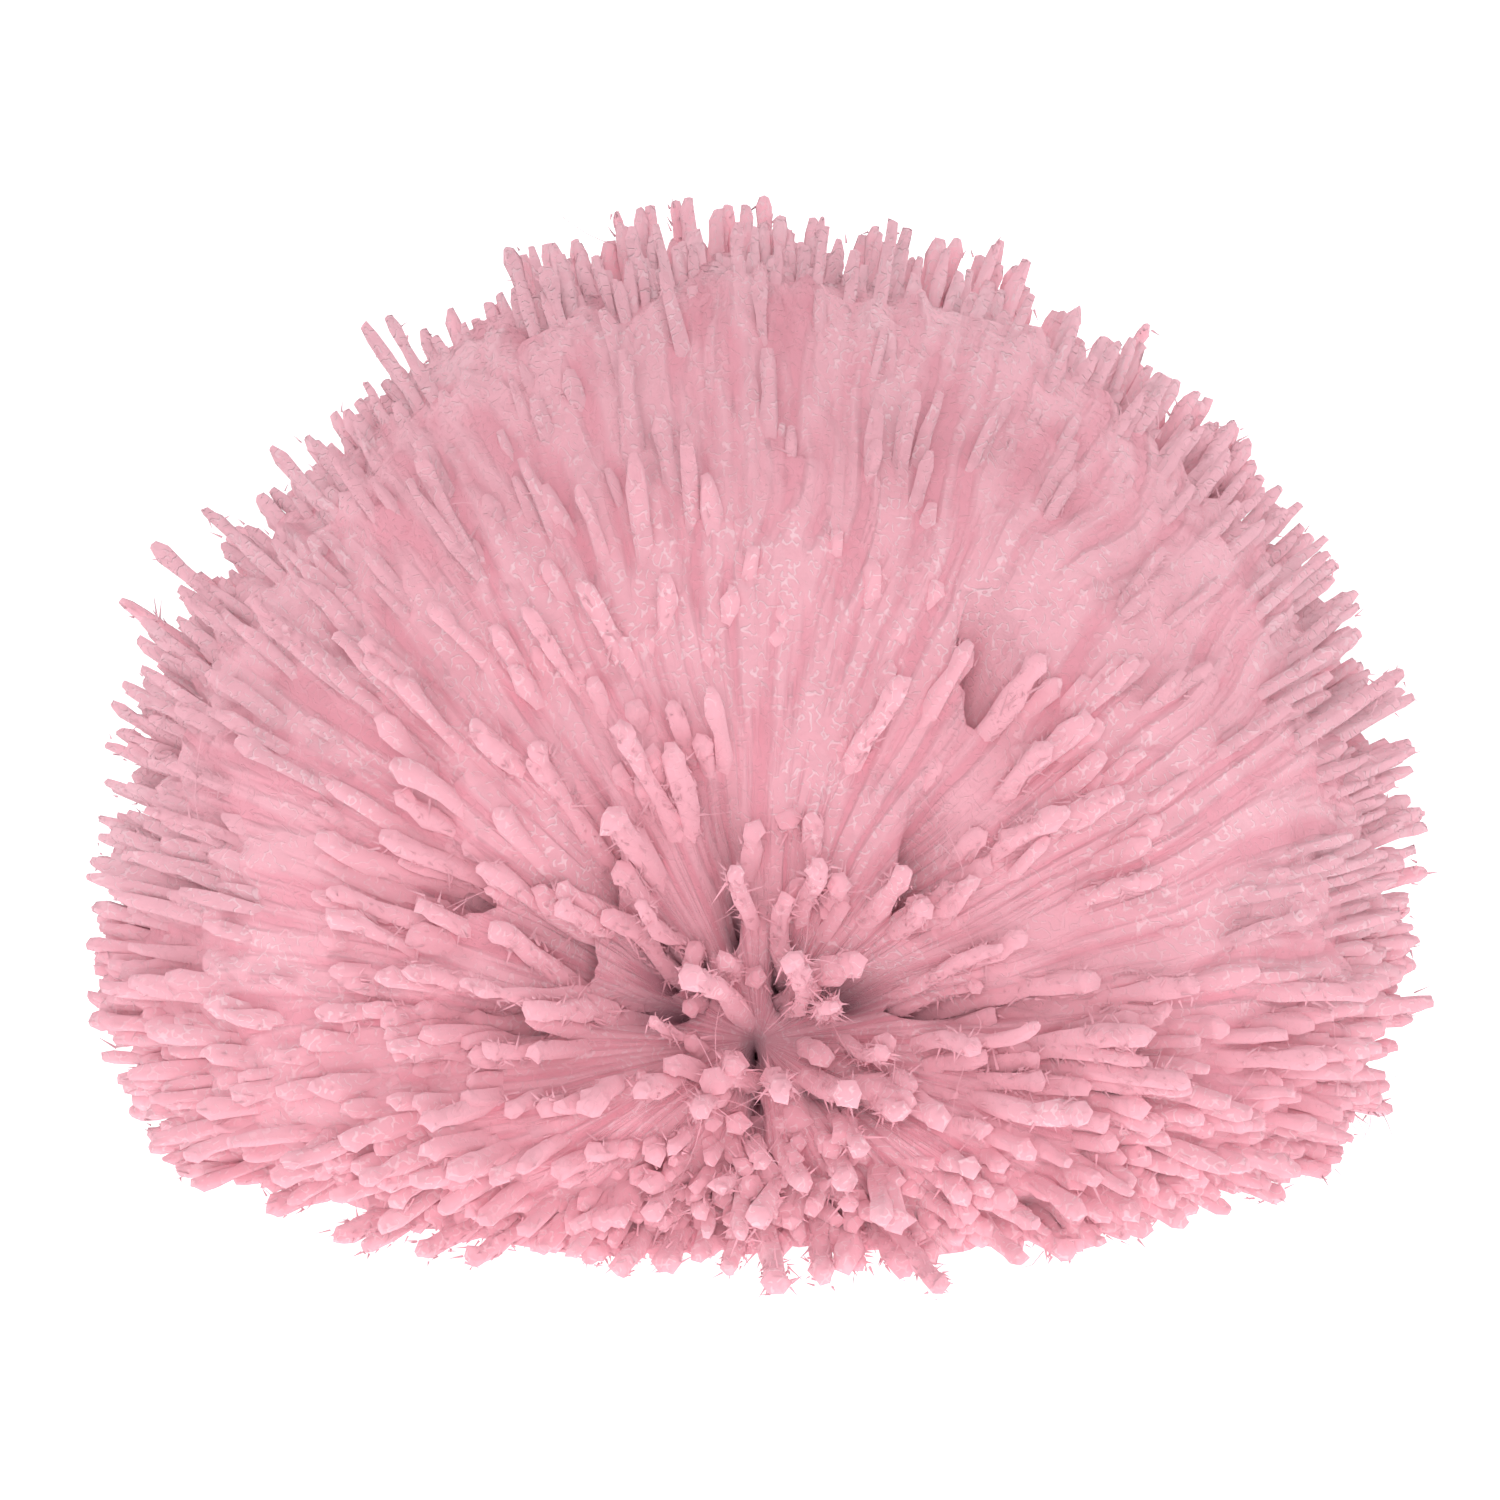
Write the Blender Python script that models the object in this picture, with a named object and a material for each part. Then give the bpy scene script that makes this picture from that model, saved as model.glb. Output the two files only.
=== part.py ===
"""Yarn pom pom resting on a table, as a standalone Blender script (metres, +Z up).

Cut yarn stands out of one tied middle in all directions. The yarn is drawn as tufts, each a
four-sided lock that widens outwards. The locks stand apart and are fused at the middle, where
the tie draws them together. The lowest ones round the outside come to lie along the table, and
those beneath are shorter and stand on level cut ends. The origin is on the table, and -Y is
the side that faces the viewer.
"""

import math
import random

import bmesh
import bpy
from mathutils import Matrix, Vector

MM = 0.001

# Driving dimensions: the reach of the yarn from the tie, and where the tie is.
HALF_WIDTH = 57.5 * MM
HALF_DEPTH = 55.0 * MM
CROWN = 72.5 * MM
FULLNESS = 2.15  # 2 is an ellipsoid; more fills the shoulders out
TRIMMED_FROM = math.radians(4.0)  # yarn that points lower than this is cut shorter
TRIMMED_FULLY = math.radians(-9.0)
TRIM_FRONT = 0.22  # share of the length cut away at the table, in front and behind
TRIM_SIDE = 0.10  # and at either side
TIE = Vector((0.012 * MM, -2.477 * MM, 9.5 * MM))  # the outline is centred, not the tie

MIDDLE_RADIUS = 7.5 * MM  # the drawn-together yarn in which all locks meet
ROOT_RADIUS = 5.2 * MM  # locks start here, inside the middle

LOCKS_ROUND = 250  # tufts that point up and outwards
LOCKS_BENEATH = 42  # sparser tufts under the middle
LOWEST_ROUND = math.sin(math.radians(-13.0))  # height of the lowest outward direction
STANDING_BELOW = math.radians(-24.0)  # steeper tufts stand on level cut ends

FILL = 0.84  # share of the room between its neighbours that a lock takes up
WIDEST = 0.16  # furthest a corner stands off the middle line, at distance 1
BELLY = 0.50  # share of the length with the middle section
SHOULDER = 0.87  # share of the length at which the cut end starts to draw in
TIP_TAPER = 0.80  # width left at the cut end
SLANT = 0.022  # how far the cut is off square, as a share of the length
LIE_ON = 1.07  # a lying lock runs on this far past the place where it meets the table
LIE_FROM = 0.92  # and is level from here

SWAY = 4.2 * MM  # how far the tips lean off a straight spoke
# The pompom opens at the front: the locks there splay away from the direction it faces.
FACES_UP = math.radians(14.0)
FRONT = Vector((0.0, -math.cos(FACES_UP), math.sin(FACES_UP)))
ABOVE_FRONT = Vector((0.0, math.sin(FACES_UP), math.cos(FACES_UP)))
SPLAY = math.radians(26.0)
SPLAY_BELOW = 0.4  # share of it for locks below the opening
OPENING = math.radians(48.0)  # how far out the locks are splayed, to the sides and up
OPENING_BELOW = math.radians(16.0)

WANDER = 0.16  # spread of the directions, as a share of the spacing
LENGTH_PLAY = 0.06
SEED = 18

YARN_COLOUR = (0.815, 0.386, 0.451, 1.0)

GOLDEN_TURN = math.pi * (3.0 - math.sqrt(5.0))
SQUARE = [math.radians(a) for a in (-135.0, -45.0, 45.0, 135.0)]  # corners, lower side first


def clear_scene():
    for obj in list(bpy.data.objects):
        bpy.data.objects.remove(obj)


def new_collection(name, hidden=False):
    collection = bpy.data.collections.new(name)
    collection.hide_render = hidden
    bpy.context.scene.collection.children.link(collection)
    return collection


def yarn_material():
    material = bpy.data.materials.new("pink_yarn")
    material.use_nodes = True
    shader = material.node_tree.nodes["Principled BSDF"]
    shader.inputs["Base Color"].default_value = YARN_COLOUR
    shader.inputs["Roughness"].default_value = 0.9
    shader.inputs["Metallic"].default_value = 0.0
    return material


def free_reach(direction):
    """Distance from the tie to the outside of the pompom that way."""
    terms = (
        abs(direction.x) / HALF_WIDTH,
        abs(direction.y) / HALF_DEPTH,
        abs(direction.z) / CROWN,
    )
    return sum(term**FULLNESS for term in terms) ** (-1.0 / FULLNESS)


def trim(direction):
    """Share of the length left after the cut that rounds the pompom in towards the table."""
    low = (TRIMMED_FROM - math.asin(direction.z)) / (TRIMMED_FROM - TRIMMED_FULLY)
    sideways = abs(direction.x) / max(math.hypot(direction.x, direction.y), MM)
    cut = TRIM_SIDE + (TRIM_FRONT - TRIM_SIDE) * (1.0 - sideways**8)
    return 1.0 - cut * min(max(low, 0.0), 1.0)


def sway(direction):
    """The slow lean that neighbouring tufts share, as a vector for the tip."""
    x, y, z = direction
    lean = Vector(
        (
            math.sin(3.1 * y + 1.3) + 0.6 * math.sin(5.3 * z - 2.0 * x),
            math.sin(2.7 * z + 0.4) + 0.6 * math.sin(4.9 * x + 1.9 * y),
            math.sin(3.3 * x - 0.8) + 0.6 * math.sin(5.1 * y + 0.7),
        )
    )
    lean -= direction * lean.dot(direction)
    lean.z *= max(direction.z, 0.0)
    return lean * (SWAY / 1.6)


def open_front(direction):
    """The direction turned away from the front, most of all close to it."""
    sideways, upward = direction.x, direction.dot(ABOVE_FRONT)
    off_axis = math.hypot(sideways, upward)
    if off_axis < MM:
        return direction
    sideways, upward = sideways / off_axis, upward / off_axis
    width = 1.0 / math.hypot(sideways / OPENING, upward / (OPENING if upward > 0.0 else OPENING_BELOW))
    angle = math.atan2(off_axis, direction.dot(FRONT))
    share = 1.0 + (1.0 - SPLAY_BELOW) * min(upward, 0.0)
    angle += SPLAY * share * math.exp(-((angle / width) ** 2))
    outward = Vector((sideways, 0.0, 0.0)) + ABOVE_FRONT * upward
    return FRONT * math.cos(angle) + outward * math.sin(angle)


def spread_directions(chance):
    """Unit vectors in a golden-angle spiral from the top down, sparser beneath."""
    round_step = (1.0 - LOWEST_ROUND) / LOCKS_ROUND
    beneath_step = (1.0 + LOWEST_ROUND) / LOCKS_BENEATH
    heights = [1.0 - (i + 0.5) * round_step for i in range(LOCKS_ROUND)]
    heights += [LOWEST_ROUND - (i + 0.5) * beneath_step for i in range(LOCKS_BENEATH - 1)]
    found = []
    for index, height in enumerate(heights):
        step = round_step if height > LOWEST_ROUND else beneath_step
        play = WANDER * math.sqrt(2 * math.pi * step)
        level = math.sqrt(1.0 - height * height)
        turn = index * GOLDEN_TURN
        aim = Vector((level * math.sin(turn), -level * math.cos(turn), height))
        aim += Vector([chance.uniform(-play, play) for _ in range(3)])
        aim.normalize()
        found.append(open_front(aim) if height > LOWEST_ROUND else aim)
    return found + [Vector((0.0, 0.0, -1.0))]


class Lock:
    """One tuft: where it points, how wide it spreads and how it ends."""

    def __init__(self, direction, others, length_share, slant_turn):
        self.direction = direction
        self.slant_turn = slant_turn
        self.reach = free_reach(direction) * trim(direction) * length_share

        level = Vector((-direction.y, direction.x, 0.0))
        self.across = level.normalized() if level.length > 1e-6 else Vector((1.0, 0.0, 0.0))
        self.rise = direction.cross(self.across)
        self.corners = [self.sideways(turn) * self.room(turn, others) for turn in SQUARE]

        slope = min((direction + corner).z for corner in self.corners)
        self.to_table = TIE.z / -slope if slope < 0.0 else math.inf
        self.standing = math.asin(direction.z) < STANDING_BELOW
        self.lying = not self.standing and self.to_table < self.reach * (1.0 + SLANT)
        if self.lying:
            self.reach = min(self.reach, self.to_table * LIE_ON)

    def sideways(self, turn):
        return self.across * math.cos(turn) + self.rise * math.sin(turn)

    def room(self, turn, others):
        """How far the lock may spread that way, at distance 1, before it meets another."""
        sideways = self.sideways(turn)
        limits = [
            (1.0 - self.direction.dot(other)) / sideways.dot(other)
            for other in others
            if sideways.dot(other) > 1e-6
        ]
        return min(FILL * min(limits), WIDEST)

    def section(self, distance, taper=1.0, slant=0.0):
        """The four corners of the lock at a distance from the tie."""
        lean = sway(self.direction) * (distance / CROWN) ** 2
        ring = []
        for turn, corner in zip(SQUARE, self.corners):
            along = distance * (1.0 + slant * math.cos(turn - self.slant_turn))
            ring.append(TIE + lean + (self.direction + corner * taper) * along)
        return ring

    def sections(self):
        """Corner rings from the root, inside the middle, to the cut end."""
        root = self.section(ROOT_RADIUS)
        if self.standing:
            return [root, [TIE + (corner - TIE) * (TIE.z / (TIE.z - corner.z)) for corner in root]]
        if self.lying:
            level_from = self.to_table * LIE_FROM
            level = [self.section(level_from), self.section(self.reach, TIP_TAPER)]
            return [root, self.section(level_from * BELLY), *map(set_on_table, level)]
        return [
            root,
            self.section(self.reach * BELLY),
            self.section(self.reach * SHOULDER),
            self.section(self.reach, TIP_TAPER, SLANT),
        ]


def set_on_table(ring):
    """The ring moved straight down or up until its lower side is on the table."""
    thickness = (ring[2].z + ring[3].z - ring[0].z - ring[1].z) / 2
    return [Vector((p.x, p.y, z)) for p, z in zip(ring, (0.0, 0.0, thickness, thickness))]


def locks():
    """Every tuft of the pompom, each as wide as its neighbours allow."""
    chance = random.Random(SEED)
    directions = spread_directions(chance)
    found = []
    for direction in directions:
        others = [other for other in directions if other is not direction]
        length_share = 1.0 + chance.uniform(-LENGTH_PLAY, LENGTH_PLAY)
        found.append(Lock(direction, others, length_share, chance.uniform(0.0, 2 * math.pi)))
    return found


def round_order(verts):
    return sorted(verts, key=lambda v: math.atan2(v.co.y, v.co.x))


def add_lock(mesh, rings):
    """A closed four-sided prism, extruded from ring to ring."""
    made = bmesh.ops.create_cone(
        mesh,
        cap_ends=True,
        segments=len(SQUARE),
        radius1=MM,
        radius2=MM,
        depth=MM,
    )["verts"]
    root = round_order(v for v in made if v.co.z < 0)
    head = round_order(v for v in made if v.co.z > 0)
    for vert, corner in zip(root + head, rings[0] + rings[1]):
        vert.co = corner
    end = next(f for f in head[0].link_faces if set(f.verts) == set(head))
    for ring in rings[2:]:
        places = [head.index(v) for v in end.verts]
        end = bmesh.ops.extrude_discrete_faces(mesh, faces=[end])["faces"][0]
        head = [None] * len(ring)
        for vert, place in zip(end.verts, places):
            vert.co = ring[place]
            head[place] = vert


def add_object(name, mesh, collection, material, location=(0.0, 0.0, 0.0)):
    data = bpy.data.meshes.new(name)
    mesh.to_mesh(data)
    mesh.free()
    data.materials.append(material)
    obj = bpy.data.objects.new(name, data)
    obj.location = location
    collection.objects.link(obj)
    return obj


def add_yarn(collection, material):
    """All locks as one mesh of separate closed prisms."""
    mesh = bmesh.new()
    for lock in locks():
        add_lock(mesh, lock.sections())
    bmesh.ops.recalc_face_normals(mesh, faces=mesh.faces)
    return add_object("yarn_locks", mesh, collection, material)


def add_middle(collection, material):
    """The tied middle as a ball, turned so that its edges miss those of the locks."""
    mesh = bmesh.new()
    bmesh.ops.create_icosphere(mesh, subdivisions=2, radius=MIDDLE_RADIUS)
    for angle, axis in ((7.0, "X"), (11.0, "Y")):
        mesh.transform(Matrix.Rotation(math.radians(angle), 4, axis))
    return add_object("pompom", mesh, collection, material, TIE)


def main():
    clear_scene()
    material = yarn_material()
    part = new_collection("yarn_pompom")
    helpers = new_collection("joined_in", hidden=True)

    yarn = add_yarn(helpers, material)
    yarn.hide_render = True
    yarn.display_type = "WIRE"

    pompom = add_middle(part, material)
    join = pompom.modifiers.new("locks", "BOOLEAN")
    join.operation = "UNION"
    join.solver = "EXACT"
    join.object = yarn


if __name__ == "__main__":
    main()
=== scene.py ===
"""A pink yarn pom pom on a white table: cut yarns, stray fibres, floor, lights and camera.

Laid out as an add-on and run as a script. Every size is in metres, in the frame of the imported
model: +Z up, the table at zero, -Y towards the viewer.
"""

import math
import random
from typing import NamedTuple

import bpy
import numpy as np
from bpy.props import FloatProperty, FloatVectorProperty, IntProperty, PointerProperty
from bpy.types import Operator, Panel, PropertyGroup
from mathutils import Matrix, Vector


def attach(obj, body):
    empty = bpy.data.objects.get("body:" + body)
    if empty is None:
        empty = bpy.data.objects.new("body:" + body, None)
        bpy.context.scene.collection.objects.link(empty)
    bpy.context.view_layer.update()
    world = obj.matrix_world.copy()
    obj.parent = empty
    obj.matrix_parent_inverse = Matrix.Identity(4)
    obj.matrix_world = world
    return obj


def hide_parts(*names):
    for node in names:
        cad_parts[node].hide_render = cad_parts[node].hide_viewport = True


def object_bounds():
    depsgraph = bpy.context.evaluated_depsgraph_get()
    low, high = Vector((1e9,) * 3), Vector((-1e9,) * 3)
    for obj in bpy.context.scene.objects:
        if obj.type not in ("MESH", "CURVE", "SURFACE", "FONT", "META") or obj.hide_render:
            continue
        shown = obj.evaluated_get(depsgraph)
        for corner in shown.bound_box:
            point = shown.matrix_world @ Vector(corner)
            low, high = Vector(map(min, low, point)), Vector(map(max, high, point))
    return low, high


bl_info = {
    "name": "Yarn pom pom",
    "version": (1, 0, 0),
    "blender": (4, 5, 0),
    "location": "3D View > Sidebar > Pom pom",
    "description": "Builds a fluffy pom pom of cut yarn around its packed model",
    "category": "Object",
}

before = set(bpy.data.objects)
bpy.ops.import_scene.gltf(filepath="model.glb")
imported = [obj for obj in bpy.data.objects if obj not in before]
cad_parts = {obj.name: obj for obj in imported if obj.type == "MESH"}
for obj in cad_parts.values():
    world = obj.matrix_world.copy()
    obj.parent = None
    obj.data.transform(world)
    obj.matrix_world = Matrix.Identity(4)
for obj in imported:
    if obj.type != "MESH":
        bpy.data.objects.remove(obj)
CAD_BOX = [list(map(float, corner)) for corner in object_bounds()]
CAD_NODE = "pompom"
BODY = "root"

MM = 0.001

# The tufts lie as the locks of the solid do, so these say what its source says.
TIE = np.array((0.012 * MM, -2.477 * MM, 9.5 * MM))
FULLNESS = 2.15
TUFTS_ROUND = 250
TUFTS_BENEATH = 42
LOWEST_ROUND = math.sin(math.radians(-13.0))
WANDER = 0.16
LENGTH_PLAY = 0.06
TUFT_SEED = 18
GOLDEN_TURN = math.pi * (3.0 - math.sqrt(5.0))

# The matted skin: its locks, and how deep it sinks towards the middle of the opening.
LOCKS = 1500
LOCK_LENGTHS = (9.0 * MM, 22.0 * MM)
LOCK_HALF_WIDTHS = (1.0 * MM, 2.6 * MM)
NARROWEST_OPENING = math.radians(26.0)
OPENING_EDGES = (0.0, 0.35, 0.60, 0.95, 1.35)  # from the middle, as shares of the opening's width
OPENING_SHARES = (0.56, 0.68, 0.80, 0.90, 1.0)  # of the matted reach, at those places
GAP_SHARE = 0.50  # of the matted reach, lost in the middle of a dark gap
SKIN_OFF_TABLE = 0.4 * MM
GAPS_AHEAD = 45.0  # how far in front of the tie the gaps are measured, in mm

# Where the yarn round the opening lies back most, and over how wide a band.
SWEEP_ANGLE = math.radians(52.0)
SWEEP_BAND = math.radians(27.0)

# Neighbouring ends stick together round a few middles in each tuft.
CLUMPS = 6
CLUMP_SPREAD = 0.105  # as an angle, in radians

LIFTED = 0.45  # share of the yarn at the front that is made to stand out of the skin
STANDS_OUT = (1.0 * MM, 10.0 * MM)  # how far it stands out, at least
DROPPED = 0.45  # share of the single yarns left out over the felted upper half
BURIED = 1.0 * MM  # yarn that ends deeper than this in the skin is left out
PAST_WIDTH = 0.8 * MM  # as is yarn that ends further than this past the half width
ROOM = 1.02  # of its radius, from the table up to the middle of a yarn that lies on it
PILE_HEIGHT = 7.0 * MM  # how far the yarn under it lifts a yarn off the table
PILE_ANGLE = math.radians(30.0)  # above the lowest yarn, where it is lifted fully
ROOT_SPREAD = (3.6 * MM, 2.2 * MM, 2.0 * MM)  # how far the roots scatter round the tie
RIPPLE = 0.5 * MM  # how far a yarn waves from side to side at its tip

SHORT_FIBRE = (0.08 * MM, 0.15 * MM)  # thickness at the root
LONG_FIBRE = 0.045 * MM
SHORT_LENGTH = (0.3 * MM, 0.22 * MM)  # the least, and how fast longer ones get rare
LONG_LENGTH = (1.0 * MM, 0.7 * MM)
RELIEF = 0.08 * MM  # depth of the fine relief on the yarn
ON_TABLE = 0.02 * MM  # nothing goes lower than this
LEVEL_ENDS = 0.1 * MM  # height of the cut ends of the yarn beneath
ROUND_FORM = TIE - (0.0, 0.0, 6.0 * MM)  # the middle of the round form that light sees
FRONT_FIBRES = 9.0  # fibres on a yarn in sight, for each on a plain one

FRAME_PIXELS = 1500.0
TIE_PIXELS = (10.0, 290.0)  # how far the tie appears right of the middle and below it
SENSOR = 36.0

WHITE = (1.0, 1.0, 1.0, 1.0)

SECTORS = ("front", "front_right", "right", "back_right", "back", "back_left", "left", "front_left")

# Shares of a yarn's length at which it has a ring of corners.
PLAIN_STEPS = np.array((0.78, 0.86, 0.92, 0.96, 0.985, 1.0))
PLAIN_SIDES = 5
CLOSE_STEPS = np.array((0.08, 0.21, 0.34, 0.46, 0.57, 0.67, 0.76, 0.83, 0.89, 0.935, 0.968, 0.988, 1.0))
CLOSE_SIDES = 6

# Single yarns that stand out beyond the rest, by where in the frame their ends are seen.
OUTLINE_ENDS = (  # pixels from the left and from the top
    (615, 205), (675, 195), (728, 199), (765, 190), (520, 250), (1003, 235), (1150, 320),
    (1240, 425), (1325, 554), (1365, 665), (118, 600), (96, 862), (96, 960), (105, 990),
    (1425, 870), (1410, 910), (1390, 1109),
)
TABLE_ENDS = (  # the same, for yarns that lie on the table
    (150, 1137), (178, 1170), (268, 1210), (335, 1240), (365, 1248), (420, 1255), (470, 1262),
    (590, 1258), (620, 1272), (665, 1268), (730, 1272), (778, 1288), (825, 1280), (860, 1268),
    (905, 1272), (940, 1290.7), (1070, 1255), (1095, 1240), (1128, 1235), (1195, 1212),
    (1285, 1198), (1330, 1172),
)
FRONT_ENDS = (  # the same, for longer yarns in the opening, and how far in front of the tie, in mm
    (490, 890, 40), (925, 905, 44), (590, 740, 40), (700, 740, 44), (880, 620, 36),
    (985, 665, 34), (1125, 1005, 38), (545, 1110, 43), (640, 1090, 47), (700, 1112, 48),
    (780, 1092, 50), (850, 1095, 48), (900, 1112, 46), (560, 905, 44), (640, 905, 47),
    (820, 865, 48), (795, 960, 51), (690, 975, 50), (735, 870, 49), (1010, 800, 40),
    (400, 830, 34), (300, 900, 30), (1180, 870, 28), (420, 1010, 38), (1040, 1080, 42),
    (330, 1040, 34),
)
PIXELS_PER_MM = 11.22  # at the tie
LYING_SEEN = 0.9 * MM  # height over the table at which a yarn that lies on it is seen
LYING_ENDS = -8.7  # where it ends, in mm from the tie

# Dark gaps where the yarn parts in front, in mm, seen GAPS_AHEAD of the tie.
GAPS = (  # right, up, half width, half height
    (-14.3, 3.6, 4.2, 1.6), (-20.0, 10.0, 1.6, 3.2), (-12.5, 8.5, 2.6, 2.4), (-7.6, 7.2, 1.1, 2.4),
    (-0.9, -3.6, 0.7, 2.4), (-0.4, -9.0, 0.6, 1.4), (3.0, 7.2, 1.2, 2.6), (11.8, 5.2, 3.2, 1.8),
    (21.0, 3.6, 4.6, 1.0), (-26.0, 2.0, 3.2, 1.2), (9.5, -6.6, 3.2, 1.1), (15.5, 16.5, 1.2, 3.4),
    (-15.5, 18.5, 1.1, 3.6), (-3.5, 16.0, 1.0, 4.0), (21.0, 36.0, 1.4, 3.6), (-30.0, 15.0, 3.0, 1.4),
)

LIGHTS = (  # name, place, size, power
    ("front", (0.0, -1.17, 0.29), 0.50, 5.7),
    ("left", (-1.10, -0.20, 0.40), 0.80, 1.4),
    ("right", (1.10, -0.20, 0.40), 0.80, 1.6),
    ("top", (-0.20, -0.20, 1.20), 0.80, 2.8),
    ("back", (0.30, 1.20, 0.50), 0.60, 5.0),
)


# --- Settings ---


def length_setting(name, description, default):
    return FloatProperty(name=name, description=description, default=default, unit="LENGTH")


def angle_setting(name, description, degrees):
    default = math.radians(degrees)
    return FloatProperty(name=name, description=description, default=default, subtype="ANGLE")


def share_setting(name, description, default):
    return FloatProperty(name=name, description=description, default=default, subtype="FACTOR")


def count_setting(name, description, default):
    return IntProperty(name=name, description=description, default=default, min=1)


def colour_setting(name, description, *default):
    return FloatVectorProperty(
        name=name, description=description, default=(*default, 1.0), subtype="COLOR", size=4,
        min=0.0, max=1.0,
    )


class PompomShape(PropertyGroup):
    half_width: length_setting("Half width", "Reach of the yarn to either side", 57.5 * MM)
    half_depth: length_setting("Half depth", "Reach of the yarn to front and back", 55.0 * MM)
    crown: length_setting("Crown", "Reach of the yarn straight up from the tie", 72.5 * MM)
    sway: length_setting("Sway", "How far neighbouring tufts lean together at the tip", 4.2 * MM)
    trimmed_from: angle_setting("Trimmed from", "Yarn that points lower than this is cut shorter", 4.0)
    trimmed_fully: angle_setting("Trimmed fully", "Lower than this no more is cut away", -9.0)
    trim_front: share_setting("Trim in front", "Share cut away at the table in front and behind", 0.26)
    trim_side: share_setting("Trim at the sides", "Share cut away at the table at either side", 0.10)
    splay: angle_setting("Splay", "How far the yarn at the front opens out", 30.0)
    splay_below: share_setting("Splay below", "Share of the splay for yarn below the opening", 0.4)
    opening_width: angle_setting("Opening width", "How far to the sides the yarn opens out", 48.0)
    opening_height: angle_setting("Opening height", "How far up the yarn opens out", 48.0)
    opening_depth: angle_setting("Opening below", "How far down the yarn opens out", 16.0)
    stir: angle_setting("Stir", "How much the yarn round the opening crosses", 9.0)
    sweep: length_setting("Sweep", "How far the tips round the opening lie back", 14.0 * MM)
    looser_behind: share_setting(
        "Looser behind", "How much less of the length is matted at the back", 0.045
    )
    lock_height: length_setting("Lock height", "How far the matted locks stand out of the skin", 2.0 * MM)
    matted: share_setting("Matted", "Share of the length up to which the yarn is one dense mass", 0.925)
    held_back: share_setting("Held back", "Share of the yarn in the opening that is hardly splayed", 0.45)
    unequal: share_setting("Unequal", "Share by which yarn in the opening may be shorter", 0.36)


class YarnSettings(PropertyGroup):
    strands: count_setting("Yarns in a tuft", "Cut yarns in each outer tuft", 36)
    strands_beneath: count_setting("Yarns beneath", "Cut yarns in each tuft under the middle", 4)
    radius: length_setting("Radius", "Half the thickness of the yarn", 0.72 * MM)
    curl: length_setting("Curl", "How far a yarn bends off its line at the tip", 1.3 * MM)
    cling: share_setting("Cling", "How far the ends of neighbouring yarns stick together", 0.85)
    plushness: share_setting("Plushness", "How far light sees the pile as one round form", 0.72)
    raggedness: share_setting("Raggedness", "How uneven the cut lengths are", 0.05)
    colour: colour_setting("Colour", "Base colour of the yarn", 0.885, 0.475, 0.550)
    fleck_colour: colour_setting(
        "Fleck colour", "Colour of the fibres that catch the light", 0.94, 0.64, 0.70
    )
    # Painted sheen: the yarn round the upper rim is mixed towards this lighter colour, as light grazing
    # its fuzz would show it.
    painted_rim_sheen: colour_setting("Painted rim sheen", "Colour of the yarn round the upper rim", 0.99, 0.57, 0.65)
    shade_colour: colour_setting(
        "Shade colour", "Colour of the yarn deep between its neighbours", 0.82, 0.35, 0.43
    )
    # Painted shade: the yarn close to the tie is darkened towards this colour, where little light
    # reaches.
    painted_deep_shade: colour_setting("Painted deep shade", "Colour of the yarn close to the tie", 0.34, 0.10, 0.16)
    fibres: count_setting("Stray fibres", "Fine fibres that stand off the yarn", 85000)
    long_fibres: count_setting("Long fibres", "Bent fibres that bridge the gaps", 1500)
    seed: count_setting("Seed", "Changes the random lie of the yarn", 7)


class StageSettings(PropertyGroup):
    distance: length_setting("Camera distance", "From the tie to the camera", 420 * MM)
    elevation: angle_setting("Camera elevation", "How steeply the camera looks down", 14.0)
    lens: FloatProperty(name="Lens", description="Focal length in millimetres", default=113.0)


# --- How the yarn lies ---


def unit(vectors):
    return vectors / np.linalg.norm(vectors, axis=-1, keepdims=True)


def dot(a, b):
    return np.sum(a * b, axis=-1, keepdims=True)


def limited(values):
    """The values, kept between 0 and 1."""
    return np.clip(values, 0.0, 1.0)


def tuft_layout():
    """The directions and length shares of the tufts, drawn in the same order as the solid's."""
    chance = random.Random(TUFT_SEED)
    round_step = (1.0 - LOWEST_ROUND) / TUFTS_ROUND
    beneath_step = (1.0 + LOWEST_ROUND) / TUFTS_BENEATH
    heights = [1.0 - (i + 0.5) * round_step for i in range(TUFTS_ROUND)]
    heights += [LOWEST_ROUND - (i + 0.5) * beneath_step for i in range(TUFTS_BENEATH - 1)]
    directions = []
    for index, height in enumerate(heights):
        step = round_step if height > LOWEST_ROUND else beneath_step
        play = WANDER * math.sqrt(2 * math.pi * step)
        level = math.sqrt(1.0 - height * height)
        turn = index * GOLDEN_TURN
        aim = Vector((level * math.sin(turn), -level * math.cos(turn), height))
        aim += Vector([chance.uniform(-play, play) for _ in range(3)])
        directions.append(aim.normalized())
    directions.append(Vector((0.0, 0.0, -1.0)))
    shares = []
    for _ in directions:
        shares.append(1.0 + chance.uniform(-LENGTH_PLAY, LENGTH_PLAY))
        chance.uniform(0.0, 2 * math.pi)
    return np.array([tuple(d) for d in directions]), np.array(shares)


def free_reach(directions, shape):
    """Distance from the tie to the outside of the pompom in each direction."""
    radii = np.array((shape.half_width, shape.half_depth, shape.crown))
    return np.sum((np.abs(directions) / radii) ** FULLNESS, axis=-1) ** (-1.0 / FULLNESS)


def tuft_sway(directions, shape):
    """The slow lean that neighbouring tufts share, as a vector for the tip."""
    x, y, z = directions.T
    lean = np.stack(
        (
            np.sin(3.1 * y + 1.3) + 0.6 * np.sin(5.3 * z - 2.0 * x),
            np.sin(2.7 * z + 0.4) + 0.6 * np.sin(4.9 * x + 1.9 * y),
            np.sin(3.3 * x - 0.8) + 0.6 * np.sin(5.1 * y + 0.7),
        ),
        axis=-1,
    )
    lean -= directions * dot(directions, lean)
    lean[:, 2] *= np.maximum(z, 0.0)
    return lean * (shape.sway / 1.6)


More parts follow.
